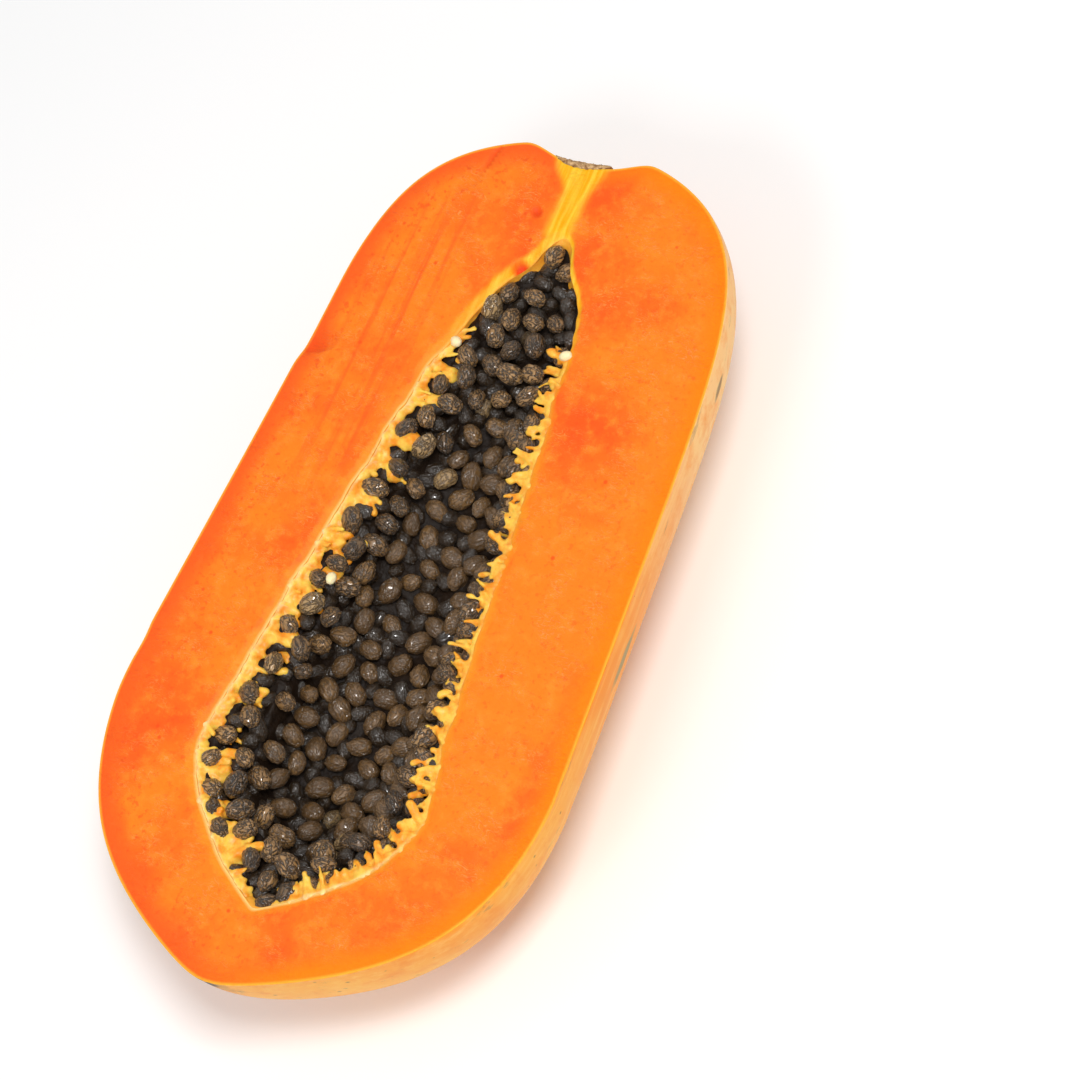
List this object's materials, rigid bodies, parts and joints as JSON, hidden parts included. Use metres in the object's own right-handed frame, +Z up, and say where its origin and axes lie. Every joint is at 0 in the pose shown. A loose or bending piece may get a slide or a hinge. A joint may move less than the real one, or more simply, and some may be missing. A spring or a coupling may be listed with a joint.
{
  "type": "halved papaya",
  "caption": "Ripe papaya half, cut lengthwise and lying on its skin, with orange flesh and a pointed cavity lined with dark seeds.",
  "frame": {"origin": "centre of the bounding box in plan, on the surface that the half rests on", "axes": "+Z up out of the cut face, +Y along the fruit towards the stem end, +X across the cut face"},
  "size_m": [0.1194, 0.2306, 0.054],
  "materials": {
    "papaya_fruit": "moist orange cut flesh, thin yellow-orange skin",
    "papaya_seeds": "wet dark grey-brown seeds in thin clear gel"
  },
  "bodies": {
    "root": {"fruit_half": "papaya_fruit", "seeds": "papaya_seeds"}
  },
  "joints": []
}
